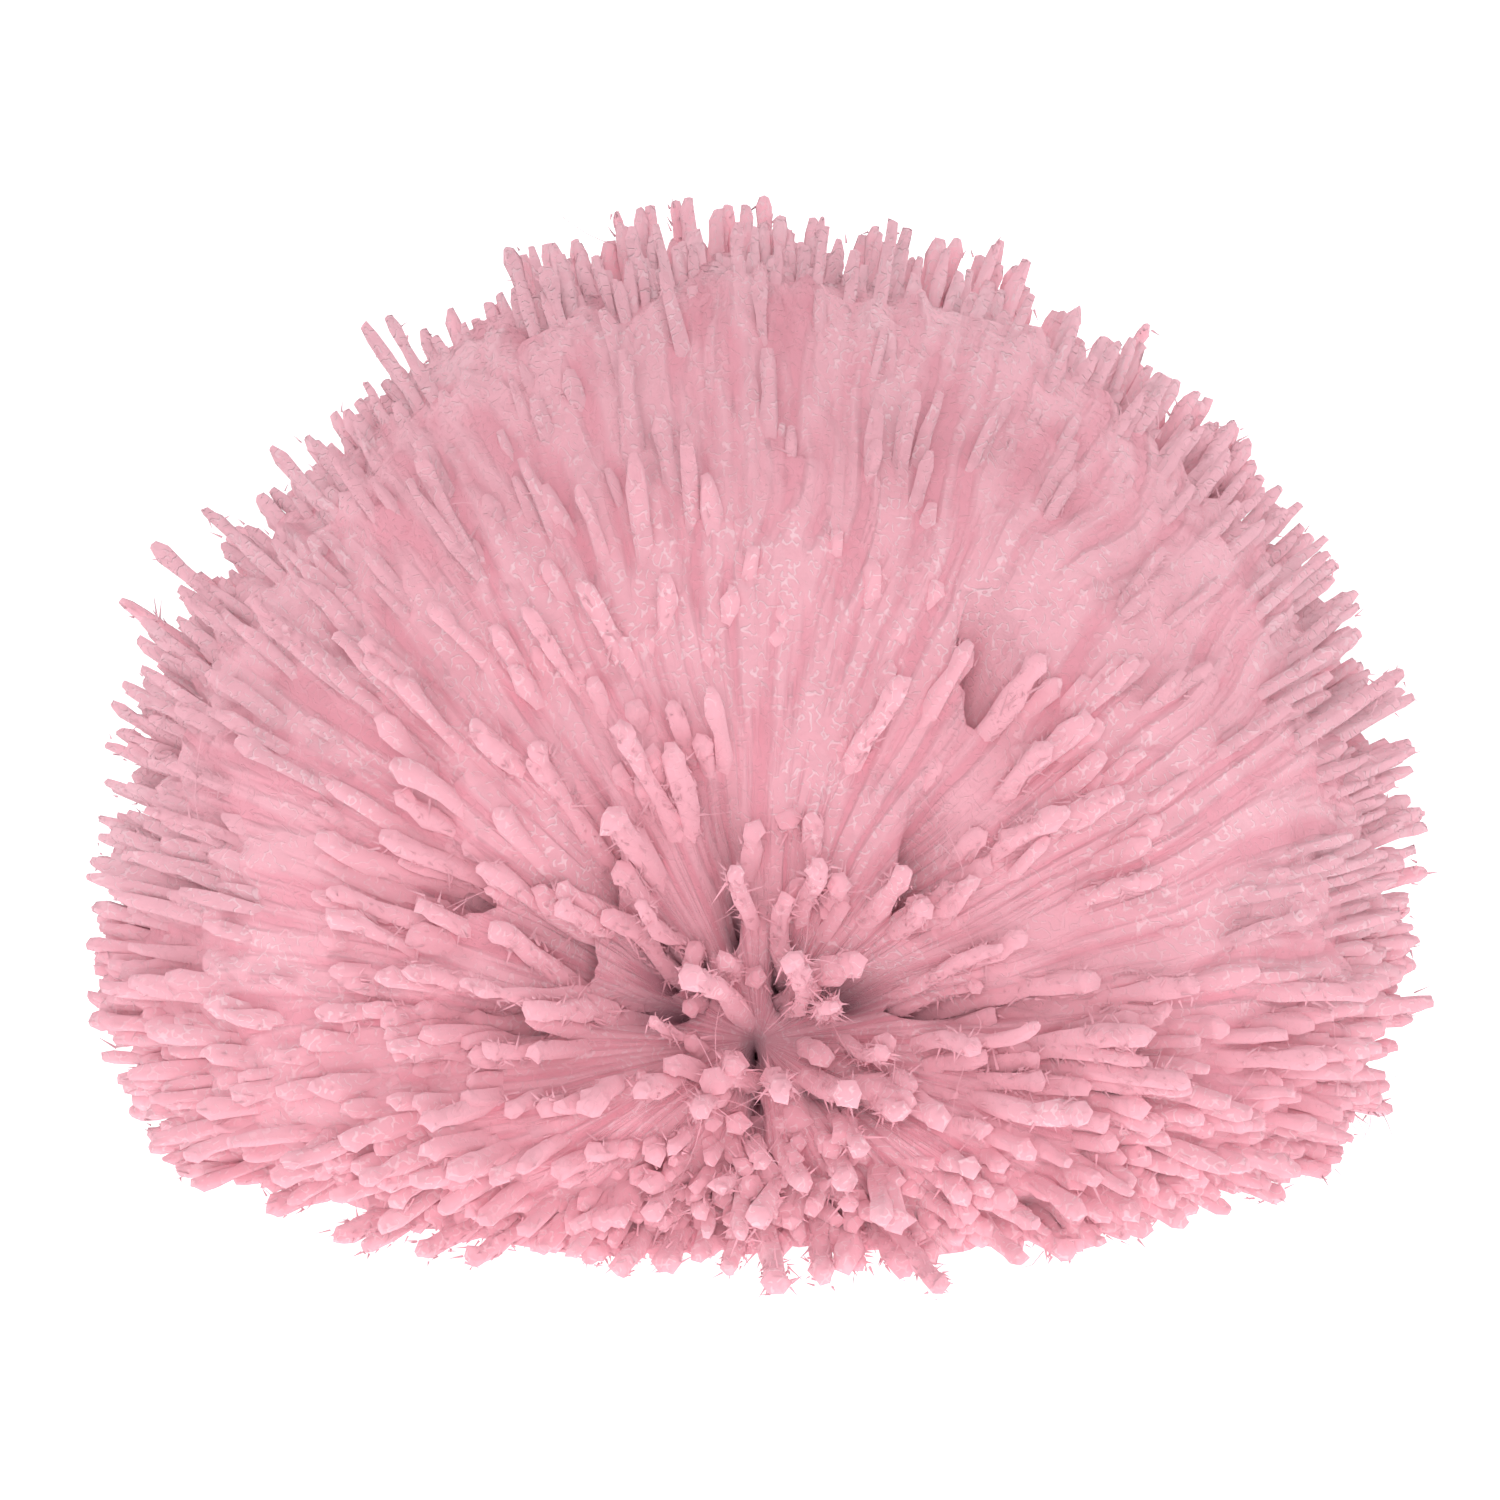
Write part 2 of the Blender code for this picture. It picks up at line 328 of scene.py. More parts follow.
def side_vectors(directions):
    """Two unit vectors square to each direction: one level, one rising."""
    level = np.stack((-directions[:, 1], directions[:, 0], np.zeros(len(directions))), axis=-1)
    level[np.linalg.norm(level, axis=-1) < 1e-6] = (1.0, 0.0, 0.0)
    level = unit(level)
    return level, np.cross(directions, level)


def trim(directions, shape):
    """Share of the length left after the cut that rounds the pompom in towards the table."""
    low = (shape.trimmed_from - np.arcsin(directions[:, 2])) / (shape.trimmed_from - shape.trimmed_fully)
    sideways = np.abs(directions[:, 0]) / np.maximum(np.hypot(directions[:, 0], directions[:, 1]), MM)
    cut = shape.trim_side + (shape.trim_front - shape.trim_side) * (1.0 - sideways**8)
    return 1.0 - cut * limited(low)


def view_axes(stage):
    """To the right, up and towards the viewer, as the front of the pompom is seen."""
    rise = stage.elevation
    right = np.array((1.0, 0.0, 0.0))
    up = np.array((0.0, math.sin(rise), math.cos(rise)))
    near = np.array((0.0, -math.cos(rise), math.sin(rise)))
    return right, up, near


def front_view(directions, stage):
    """How far directions point to the right, up, towards the viewer and off the viewer's line."""
    right, up, near = view_axes(stage)
    across, height = directions @ right, directions @ up
    return across, height, directions @ near, np.hypot(across, height) + 1e-9


def seen_at(ends, stage):
    """Places seen at given pixels, each so many mm in front of the tie, in mm from the tie."""
    right, up, near = view_axes(stage)
    pixels, ahead = np.array(ends, float)[:, :2], np.array(ends, float)[:, 2:]
    from_tie = pixels - FRAME_PIXELS / 2 - TIE_PIXELS
    from_tie = from_tie * (1.0 - ahead * MM / stage.distance) / PIXELS_PER_MM
    return from_tie[:, :1] * right - from_tie[:, 1:] * up + ahead * near


def seen_on_table(ends, stage):
    """Places on the table that are seen at given pixels, in mm from the tie."""
    right, up, near = view_axes(stage)
    turn, pitch, per_pixel = camera_aim(stage)
    ahead = up * math.sin(pitch) - near * math.cos(pitch)
    upward = up * math.cos(pitch) + near * math.sin(pitch)
    sideways = right * math.cos(turn) + ahead * math.sin(turn)
    ahead = ahead * math.cos(turn) - right * math.sin(turn)
    across = (np.array(ends, float) - FRAME_PIXELS / 2) * per_pixel
    rays = ahead + across[:, :1] * sideways - across[:, 1:] * upward
    camera = TIE + near * stage.distance
    places = camera + rays * (LYING_SEEN - camera[2]) / rays[:, 2:]
    places = (places - TIE) / MM
    places[:, 2] = LYING_ENDS
    return places


def single_ends(stage):
    """Where the single yarns end, to a tenth of a millimetre, in metres from the tie."""
    on_outline = seen_at([(*pixels, 0) for pixels in OUTLINE_ENDS], stage)
    on_table, in_front = seen_on_table(TABLE_ENDS, stage), seen_at(FRONT_ENDS, stage)
    return np.round(np.concatenate((on_outline, on_table, in_front)), 1) * MM


def open_front(directions, scene, rng):
    """The directions splayed round the front, where it opens, and which of them hardly are."""
    shape = scene.pompom_shape
    right, up, near = view_axes(scene.pompom_stage)
    across, height, depth, off_axis = front_view(directions, scene.pompom_stage)
    angle = np.arctan2(off_axis, depth)
    sideways, upward = across / off_axis, height / off_axis
    width = opening_widths(sideways, upward, shape)
    share = 1.0 + (1.0 - shape.splay_below) * np.minimum(upward, 0.0)
    held_back = rng.random(len(angle)) < shape.held_back
    splayed_less = rng.uniform(0.0, 0.55, len(angle))
    splayed_more = rng.uniform(0.65, 1.25, len(angle))
    share = share * np.where(held_back, splayed_less, splayed_more)
    angle = angle + shape.splay * share * np.exp(-((angle / width) ** 2))
    turn = rng.normal(0.0, shape.stir, len(angle)) * limited((directions @ near - 0.3) / 0.4)
    across = sideways * np.cos(turn) - upward * np.sin(turn)
    height = sideways * np.sin(turn) + upward * np.cos(turn)
    outward = across[:, None] * right + height[:, None] * up
    return unit(near * np.cos(angle)[:, None] + outward * np.sin(angle)[:, None]), held_back


def swept_back(directions, near, shape):
    """How the yarn round the opening lies back, away from the front, as a vector for the tip."""
    along = directions @ near
    back = along[:, None] * directions - near
    angle = np.arccos(np.clip(along, -1.0, 1.0))
    amount = np.exp(-(((angle - SWEEP_ANGLE) / SWEEP_BAND) ** 2))
    amount = amount * limited((directions[:, 2] + 0.05) / 0.3)
    return unit(back) * (shape.sweep * amount)[:, None]


def gap_depth(directions, stage):
    """How far each direction lies inside one of the dark gaps, from 0 to 1."""
    across, height, depth, _ = front_view(directions, stage)
    depth = np.maximum(depth, 0.05)
    across, height = GAPS_AHEAD * across / depth, GAPS_AHEAD * height / depth
    inside = np.zeros(len(directions))
    for middle, level, half_width, half_height in GAPS:
        away = ((across - middle) / half_width) ** 2 + ((height - level) / half_height) ** 2
        inside = np.maximum(inside, np.exp(-0.7 * away))
    return inside


def opening_widths(sideways, upward, shape):
    """How wide the opening is, as an angle, each way from its middle."""
    tall = np.where(upward > 0.0, shape.opening_height, shape.opening_depth)
    return 1.0 / np.sqrt((sideways / shape.opening_width) ** 2 + (upward / tall) ** 2)


def matted_reach(directions, scene):
    """How far out the yarn is matted together: nearly to the ends, but not in the opening."""
    shape = scene.pompom_shape
    across, height, depth, off_axis = front_view(directions, scene.pompom_stage)
    width = opening_widths(across / off_axis, height / off_axis, shape)
    inside = np.arctan2(off_axis, depth) / np.maximum(width, NARROWEST_OPENING)
    waves = (17.0 * across + 2.0, 23.0 * height - 1.0, 19.0 * depth + 4.0 * across)
    uneven = 0.008 * sum(np.sin(wave) for wave in waves)
    behind = limited(0.1 - 1.6 * depth)
    full = shape.matted - shape.looser_behind * behind + uneven
    share = np.interp(inside, OPENING_EDGES, OPENING_SHARES)
    share = share * (1.0 - GAP_SHARE * gap_depth(directions, scene.pompom_stage))
    return free_reach(directions, shape) * trim(directions, shape) * share * full


def matted_locks(directions, scene, rng):
    """Height of the matted locks in front: each rises slowly outwards and ends in a step."""
    shape = scene.pompom_shape
    near = view_axes(scene.pompom_stage)[2]

    def polar(places):
        across, height, depth, off_axis = front_view(places, scene.pompom_stage)
        return np.arctan2(across, height), np.arctan2(off_axis, depth)

    turn, tilt = polar(directions)
    aims = unit(rng.normal(0.0, 1.0, (3 * LOCKS, 3)))
    aims = aims[(aims @ near > -0.4) & (aims @ near < 0.92)][:LOCKS]
    lock_turns, lock_tilts = polar(aims)
    lengths = rng.uniform(*LOCK_LENGTHS, len(aims)) / shape.crown
    widths = rng.uniform(*LOCK_HALF_WIDTHS, len(aims)) / shape.crown
    lifts = rng.uniform(0.3, 1.0, len(aims)) * limited((aims @ near + 0.4) / 0.6)
    height = np.zeros(len(directions))
    locks = zip(lock_turns, lock_tilts, lengths, widths, lifts)
    for lock_turn, lock_tilt, length, width, lift in locks:
        along = (tilt - lock_tilt) / length
        around = (turn - lock_turn + math.pi) % (2 * math.pi) - math.pi
        beside = around * np.sin(tilt) / width
        rise = limited(1.0 + along) * limited(1.0 - along * 8.0)
        height = np.maximum(height, lift * rise * limited(1.0 - beside**2))
    return shape.lock_height * height


def cling_together(tips, tufts, per_tuft, share, rng):
    """The tips drawn towards the nearest of a few middles in each tuft."""
    middles = strand_places(tufts, CLUMPS, CLUMP_SPREAD, rng).reshape(len(tufts), CLUMPS, 3)
    own = tips.reshape(len(tufts), per_tuft, 3)
    nearest = np.argmax(np.einsum("tsd,tmd->tsm", own, middles), axis=-1)
    goal = np.take_along_axis(middles, nearest[..., None], axis=1)
    pull = share * rng.uniform(0.0, 1.0, (len(tufts), CLUMPS))
    pull = np.take_along_axis(pull, nearest, axis=1)[..., None]
    return unit(own * (1.0 - pull) + goal * pull).reshape(-1, 3)


def strand_places(directions, count, spread, rng):
    """Directions of the yarns of each tuft, spread evenly over its patch."""
    level, rising = side_vectors(directions)
    index = np.arange(count)
    radius = spread * np.sqrt((index + 0.5) / count)
    turn = index * GOLDEN_TURN + rng.uniform(0, 2 * math.pi, (len(directions), 1))
    offset_u = radius * np.cos(turn) + rng.normal(0, spread * 0.16, turn.shape)
    offset_v = radius * np.sin(turn) + rng.normal(0, spread * 0.16, turn.shape)
    places = (
        directions[:, None]
        + offset_u[..., None] * level[:, None]
        + offset_v[..., None] * rising[:, None]
    )
    return unit(places.reshape(-1, 3))


class Strands(NamedTuple):
    """The centre lines of a number of cut yarns, and how each looks."""

    lines: np.ndarray
    radius: np.ndarray
    plush: np.ndarray
    steps: np.ndarray
    sides: int

    def pick(self, chosen):
        own = {name: getattr(self, name)[chosen] for name in ("lines", "radius", "plush")}
        return self._replace(**own)


def free_tips(scene, rng):
    """Direction and reach of every yarn that stands out of the tie, tuft by tuft."""
    shape, yarn = scene.pompom_shape, scene.pompom_yarn
    tufts, shares = tuft_layout()
    tufts, shares = tufts[:TUFTS_ROUND], shares[:TUFTS_ROUND]
    spread = math.sqrt(2 * (1.0 - LOWEST_ROUND) / TUFTS_ROUND)
    tips = strand_places(tufts, yarn.strands, spread, rng)
    tips = cling_together(tips, tufts, yarn.strands, yarn.cling, rng)
    near = view_axes(scene.pompom_stage)[2]
    off_front = np.arccos(np.clip(tips @ near, -1.0, 1.0))
    in_opening = np.exp(-((off_front / shape.opening_height) ** 2))
    tips, held_back = open_front(tips, scene, rng)

    count = len(tips)
    short = rng.gamma(1.6, yarn.raggedness / 1.6, count)
    much_shorter = rng.uniform(0.35, 1.0, count)
    little_shorter = rng.uniform(0.0, 0.8, count) ** 1.5
    shorter = np.where(held_back, much_shorter, little_shorter)
    share = np.repeat(shares, yarn.strands) - short
    share = share * (1.0 - shape.unequal * in_opening * shorter)
    longest = free_reach(tips, shape) * trim(tips, shape)
    reach = longest * share
    above_skin = matted_reach(tips, scene) + rng.uniform(*STANDS_OUT, count)
    above_skin = np.minimum(above_skin, 0.97 * longest)
    in_front, behind = tips @ near > 0.70, tips @ near < -0.15
    lifted = (rng.random(count) < LIFTED) & in_front | behind
    return tips, np.where(lifted, np.maximum(reach, above_skin), reach)


def over_felt(directions, near):
    """Where the upper half is felted, from 0 to 1: between the opening and the rim."""
    towards = directions @ near
    share = limited((0.72 - towards) / 0.12) * limited(towards / 0.15)
    return share * limited((directions[:, 2] - 0.15) / 0.2)


def outer_strands(scene):
    """All yarns that stand out of the tie freely or lie on the table, in two grades."""
    shape, yarn, stage = scene.pompom_shape, scene.pompom_yarn, scene.pompom_stage
    rng = np.random.default_rng(yarn.seed)
    near = view_axes(stage)[2]
    tips, reach = free_tips(scene, rng)
    free = len(tips)
    stray_ends = single_ends(stage)
    stray_reach = np.linalg.norm(stray_ends, axis=-1)
    tips = np.concatenate((tips, stray_ends / stray_reach[:, None]))
    reach = np.concatenate((reach, stray_reach))
    count = len(tips)
    is_stray = np.arange(count) >= free
    is_straight = is_stray & (np.arange(count) < count - len(FRONT_ENDS))

    facing = limited((tips @ near - 0.35) / 0.4)
    lean = tuft_sway(tips, shape) * (reach[:, None] / shape.crown) ** 2
    level, rising = side_vectors(tips)
    curl = rng.normal(0, yarn.curl, (count, 2)) * (1.0 + 1.6 * facing[:, None])
    lean = lean + curl[:, :1] * level + curl[:, 1:] * rising
    combed = swept_back(tips, near, shape)
    combed[is_stray] = lean[is_stray] = 0.0
    bend = 1.0 + 4.0 * (is_stray & ~is_straight)
    root = rng.normal(0, 1.0, (count, 3)) * ROOT_SPREAD
    wave = rng.uniform(0, 2 * math.pi, (count, 2, 1))
    pace = rng.uniform(1.0, 3.0, (count, 2, 1))
    middle = limited((facing - 0.5) * 2.0)
    radius = yarn.radius * rng.normal(1.0, 0.12, count) * (1.0 + 0.15 * middle)
    radius[is_stray] *= np.where(stray_ends[:, 2] < 0.0, 1.15, 0.95)
    above_lowest = np.arcsin(tips[:, 2]) - math.asin(LOWEST_ROUND)
    pile = np.clip(above_lowest, 0.0, PILE_ANGLE) / PILE_ANGLE

    ends = tips * reach[:, None] + lean + combed
    end_reach = np.linalg.norm(ends, axis=-1)
    end_tips = ends / end_reach[:, None]
    felted = over_felt(end_tips, near)
    kept = end_reach > matted_reach(end_tips, scene) - BURIED
    kept &= rng.random(count) > DROPPED * felted
    kept &= gap_depth(end_tips, stage) < 0.45
    kept &= np.all((TIE + ends > CAD_BOX[0]) & (TIE + ends < CAD_BOX[1]), axis=-1)
    kept &= np.abs(ends[:, 0]) < shape.half_width + PAST_WIDTH
    radius = radius * (1.0 - 0.20 * felted)
    in_front = limited((end_tips @ near + 0.2) / 0.5)
    plush = yarn.plushness * (0.15 + 0.45 * in_front + 0.50 * felted)

    def follow(chosen, steps, sides):
        t = steps[None, :, None]
        out = tips[chosen, None] * reach[chosen, None, None]
        lines = TIE + root[chosen, None] * (1.0 - t) ** 1.5 + out * t
        lines = lines + lean[chosen, None] * t**2 + combed[chosen, None] * t**4
        ripple = np.sin(wave[chosen] + 2 * math.pi * pace[chosen] * steps) * steps * RIPPLE
        ripple = ripple * (1.0 - is_stray[chosen, None, None] * steps) * bend[chosen, None, None]
        lines = lines + ripple[:, 0, :, None] * level[chosen, None]
        lines = lines + ripple[:, 1, :, None] * rising[chosen, None]
        own = radius[chosen, None]
        floor = own * ROOM + PILE_HEIGHT * pile[chosen, None] * (1.0 - 0.55 * steps)
        floor = np.where(is_stray[chosen, None], own, floor)
        lines[..., 2] = soft_floor(lines[..., 2], floor)
        return Strands(lines, radius[chosen], plush[chosen], steps, sides)

    in_sight = (matted_reach(tips, scene) < 0.84 * reach) | is_stray
    return (
        follow((kept & in_sight) | is_stray, CLOSE_STEPS, CLOSE_SIDES),
        follow(kept & ~in_sight, PLAIN_STEPS, PLAIN_SIDES),
    )


def soft_floor(height, floor):
    """Heights that come down to the table smoothly and never pass it."""
    over = height - floor
    softness = 0.5 * MM
    return floor + 0.5 * (over + np.sqrt(over**2 + softness**2))


def beneath_strands(scene):
    """Shorter yarns under the middle, cut level where they meet the table."""
    yarn = scene.pompom_yarn
    rng = np.random.default_rng(yarn.seed + 1)
    tufts, _ = tuft_layout()
    tufts = tufts[TUFTS_ROUND:]
    spread = 0.8 * math.sqrt(2 * (1.0 + LOWEST_ROUND) / TUFTS_BENEATH)
    directions = strand_places(tufts, yarn.strands_beneath, spread, rng)
    directions[:, 2] = np.minimum(directions[:, 2], -0.3)
    directions = unit(directions)
    radius = yarn.radius * rng.normal(1.0, 0.07, len(directions))
    reach = (TIE[2] - LEVEL_ENDS) / -directions[:, 2]
    lines = TIE + directions[:, None] * reach[:, None, None] * PLAIN_STEPS[None, :, None]
    return Strands(lines, radius, np.full(len(lines), yarn.plushness), PLAIN_STEPS, PLAIN_SIDES)


# --- Meshes ---


def plush_normals(points, facing, share):
    """Shading that follows the pompom's round form as well as each yarn's own side."""
    outward = unit(points - ROUND_FORM)
    return unit(facing * (1.0 - share) + outward * share)


def mesh_object(name, parts, material):
    """One smooth mesh out of groups of corners, shading normals, quads and triangles."""
    data = bpy.data.meshes.new(name)
    offsets = np.cumsum([0] + [len(part[0]) for part in parts])
    vertices = np.concatenate([part[0] for part in parts])
    normals = np.concatenate([part[1] for part in parts])
    quads = np.concatenate([part[2] + offset for part, offset in zip(parts, offsets)])
    triangles = np.concatenate([part[3] + offset for part, offset in zip(parts, offsets)])
    corners = np.concatenate((quads.ravel(), triangles.ravel())).astype(np.int32)
    starts = np.concatenate(
        (np.arange(len(quads)) * 4, len(quads) * 4 + np.arange(len(triangles)) * 3)
    ).astype(np.int32)
    data.vertices.add(len(vertices))
    data.vertices.foreach_set("co", vertices.astype(np.float32).ravel())
    data.loops.add(len(corners))
    data.loops.foreach_set("vertex_index", corners)
    data.polygons.add(len(starts))
    data.polygons.foreach_set("loop_start", starts)
    data.update(calc_edges=True)
    data.polygons.foreach_set("use_smooth", np.ones(len(starts), dtype=bool))
    data.normals_split_custom_set_from_vertices(normals)
    data.materials.append(material)
    piece = bpy.data.objects.new(name, data)
    bpy.context.scene.collection.objects.link(piece)
    return piece


def ring_quads(rings, sides):
    """The quads between rings of corners, as numbers of those corners."""
    ring, side = np.meshgrid(np.arange(rings - 1), np.arange(sides), indexing="ij")
    here, beside = ring * sides + side, ring * sides + (side + 1) % sides
    return np.stack((here, beside, beside + sides, here + sides), axis=-1).reshape(-1, 4)


def sweep(lines, radii, plushness):
    """Tubes with round-ish ends. lines is yarn x ring x 3, radii is yarn x ring x side."""
    count, rings, sides = radii.shape
    tangents = unit(np.gradient(lines, axis=1))
    first, _ = side_vectors(tangents[:, 0])
    across = np.empty_like(lines)
    for ring in range(rings):
        tangent = tangents[:, ring]
        first = unit(first - tangent * dot(first, tangent))
        across[:, ring] = first
    other = np.cross(tangents, across)
    turn = 2 * math.pi * np.arange(sides) / sides
    around = (
        across[:, :, None] * np.cos(turn)[None, None, :, None]
        + other[:, :, None] * np.sin(turn)[None, None, :, None]
    )
    shell = lines[:, :, None] + around * radii[..., None]
    frayed = (radii[:, -1] - radii[:, -1].mean(axis=-1, keepdims=True)) * 1.2
    shell[:, -1] += tangents[:, -1, None] * frayed[..., None]
    crown = lines[:, -1] + tangents[:, -1] * radii[:, -1].mean(axis=-1)[:, None] * 0.35
    caps = np.stack((lines[:, 0], crown), axis=1)
    around[:, -1] += tangents[:, -1, None]
    sideways = unit(around).reshape(count, -1, 3)
    facing = np.concatenate((sideways, -tangents[:, :1], tangents[:, -1:]), axis=1)
    per_strand = rings * sides + 2
    vertices = np.concatenate((shell.reshape(count, -1, 3), caps), axis=1).reshape(-1, 3)
    vertices[:, 2] = np.maximum(vertices[:, 2], ON_TABLE)
    share = np.repeat(np.broadcast_to(plushness, count), per_strand)[:, None]
    normals = plush_normals(vertices, facing.reshape(-1, 3), share)

    quads = ring_quads(rings, sides)
    side = np.arange(sides)
    after = (side + 1) % sides
    last = (rings - 1) * sides
    start_cap = np.stack((after, side, np.full(sides, rings * sides)), axis=-1)
    end_cap = np.stack((last + side, last + after, np.full(sides, rings * sides + 1)), axis=-1)
    triangles = np.concatenate((start_cap, end_cap))
    base = (np.arange(count) * per_strand)[:, None, None]
    return vertices, normals, (base + quads).reshape(-1, 4), (base + triangles).reshape(-1, 3)


def woolly_radii(strands, rng):
    """Uneven thickness round and along each yarn, rounded off at the cut end."""
    count, rings = len(strands.radius), len(strands.steps)
    profile = 0.78 + 0.22 * limited(strands.steps / 0.45)
    profile[-1] *= 0.62
    lumps = rng.normal(0, 0.12, (count, rings, 1))
    around = rng.normal(0, 0.12, (count, rings, strands.sides))
    around[:, -2:] *= 1.4
    return strands.radius[:, None, None] * profile[None, :, None] * (1.0 + lumps + around)


def yarn_piece(name, grades, scene, rng):
    parts = [
        sweep(strands.lines, woolly_radii(strands, rng), strands.plush)
        for strands in grades
        if len(strands.lines)
    ]
    return on_body(mesh_object(name, parts, yarn_material("pink_yarn", scene)))


def matted_piece(scene, rows=170, columns=340):
    """The dense yarn behind the ends, as one closed skin of matted locks."""
    rng = np.random.default_rng(scene.pompom_yarn.seed + 40)
    tilt = np.linspace(math.pi / 2, -math.pi / 2, rows + 2)[1:-1]
    turn = 2 * math.pi * np.arange(columns) / columns
    tilt, turn = np.meshgrid(tilt, turn, indexing="ij")
    parts = (np.cos(tilt) * np.sin(turn), -np.cos(tilt) * np.cos(turn), np.sin(tilt))
    directions = np.stack(parts, axis=-1).reshape(-1, 3)
    directions = np.concatenate((directions, ((0, 0, 1), (0, 0, -1))))
    reach = matted_reach(directions, scene) * (1.0 + rng.normal(0, 0.002, len(directions)))
    reach = reach + matted_locks(directions, scene, rng)
    down = np.minimum(directions[:, 2], -1e-6)
    to_table = (TIE[2] - SKIN_OFF_TABLE) / -down
    reach = np.where(directions[:, 2] < 0.0, np.minimum(reach, to_table), reach)
    vertices = TIE + directions * reach[:, None]
    grid = vertices[:-2].reshape(rows, columns, 3)
    down_grid = np.gradient(grid, axis=0)
    round_grid = np.roll(grid, -1, axis=1) - np.roll(grid, 1, axis=1)
    facing = np.concatenate((unit(np.cross(down_grid, round_grid)).reshape(-1, 3), directions[-2:]))
    normals = plush_normals(vertices, facing, scene.pompom_yarn.plushness)
    quads = np.roll(ring_quads(rows, columns)[:, ::-1], 1, axis=1)
    top, bottom = rows * columns, rows * columns + 1
    first, after = np.arange(columns), (np.arange(columns) + 1) % columns
    last = (rows - 1) * columns
    triangles = np.concatenate((
        np.stack((np.full(columns, top), first, after), axis=-1),
        np.stack((np.full(columns, bottom), last + after, last + first), axis=-1),
    ))
    skin = (vertices, normals, quads, triangles)
    return on_body(mesh_object("matted_yarn", [skin], yarn_material("matted_pink_yarn", scene)))


def on_body(piece):
    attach(piece, BODY)
    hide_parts(CAD_NODE)
    return piece


def fibre_roots(strands, count, rng):
    """Places on the side of the yarns, most of them near the cut ends, with the way out."""
    yarns, rings = strands.lines.shape[:2]
    which = rng.integers(0, yarns, count)
    aim = 1.0 - rng.gamma(1.3, 0.20, count)
    aim = np.clip(aim, 0.15, 0.999)
    ring = np.clip(np.searchsorted(strands.steps, aim), 1, rings - 1)
    low, high = strands.steps[ring - 1], strands.steps[ring]
    share = limited((aim - low) / (high - low))[:, None]
    place = strands.lines[which, ring - 1] * (1.0 - share) + strands.lines[which, ring] * share
    along = unit(strands.lines[which, ring] - strands.lines[which, ring - 1])
    out = rng.normal(0, 1, (count, 3))
    out = unit(out - along * dot(out, along))
    width = strands.radius[which] * np.where(aim > 0.9, 1.1, 0.97)
    return place + out * width[:, None], along, out


def short_fibres(strands, count, plushness, rng):
    """Short pointed fibres, each a slim closed pyramid, that lie on the yarn or stand off it."""
    root, along, out = fibre_roots(strands, count, rng)
    outwards = out * rng.uniform(0.05, 0.6, (count, 1))
    onwards = along * rng.normal(0.5, 0.7, (count, 1))
    heading = unit(outwards + onwards + rng.normal(0, 0.35, (count, 3)))
    length = rng.gamma(3.0, SHORT_LENGTH[1], (count, 1)) + SHORT_LENGTH[0]
    thickness = rng.uniform(*SHORT_FIBRE, (count, 1, 1))
    level, rising = side_vectors(heading)
    turn = 2 * math.pi * np.arange(3) / 3
    around = level[:, None] * np.cos(turn)[:, None] + rising[:, None] * np.sin(turn)[:, None]
    base = root[:, None] + around * thickness
    end = root + heading * length
    vertices = np.concatenate((base, end[:, None]), axis=1).reshape(-1, 3)
    vertices[:, 2] = np.maximum(vertices[:, 2], ON_TABLE)
    facing = np.concatenate((around, heading[:, None]), axis=1).reshape(-1, 3)
    first = (np.arange(count) * 4)[:, None, None]
    triangles = np.array([[2, 1, 0], [0, 1, 3], [1, 2, 3], [2, 0, 3]])
    normals = plush_normals(vertices, facing, plushness)
    return vertices, normals, np.empty((0, 4), int), (first + triangles).reshape(-1, 3)


def long_fibres(strands, count, plushness, rng):
    """Fine bent fibres that bridge the gaps between yarns."""
    root, along, out = fibre_roots(strands, count, rng)
    steps = np.linspace(0.0, 1.0, 5)[None, :, None]
    length = rng.gamma(4.0, LONG_LENGTH[1], (count, 1, 1)) + LONG_LENGTH[0]
    heading = unit(out + along * rng.uniform(-0.2, 0.9, (count, 1)))[:, None]
    bend = rng.normal(0, 0.5, (count, 1, 3))
    lines = root[:, None] + heading * length * steps + bend * length * steps**2
    radii = np.broadcast_to(LONG_FIBRE * (1.0 - 0.6 * steps), (count, 5, 3))
    return sweep(lines, radii, plushness)


# --- Materials ---


YARN_COLOURS = ("Colour", "Fleck colour", "Painted rim sheen", "Shade colour", "Painted deep shade")

# Flecks weigh the painted highlights on the fibres and the rim; streaks weigh the grooves, which are both
# bump and painted shade.
MATERIALS = {  # flecks, bump, streaks
    "pink_yarn": (0.9, 0.5, 0.0),
    "matted_pink_yarn": (1.0, 0.6, 0.8),
    "loose_fibre": (0.0, 0.1, 0.0),
}


def fill(node, values):
    """Set a node's own inputs by name."""
    for name, value in values.items():
        node.inputs[name].default_value = value


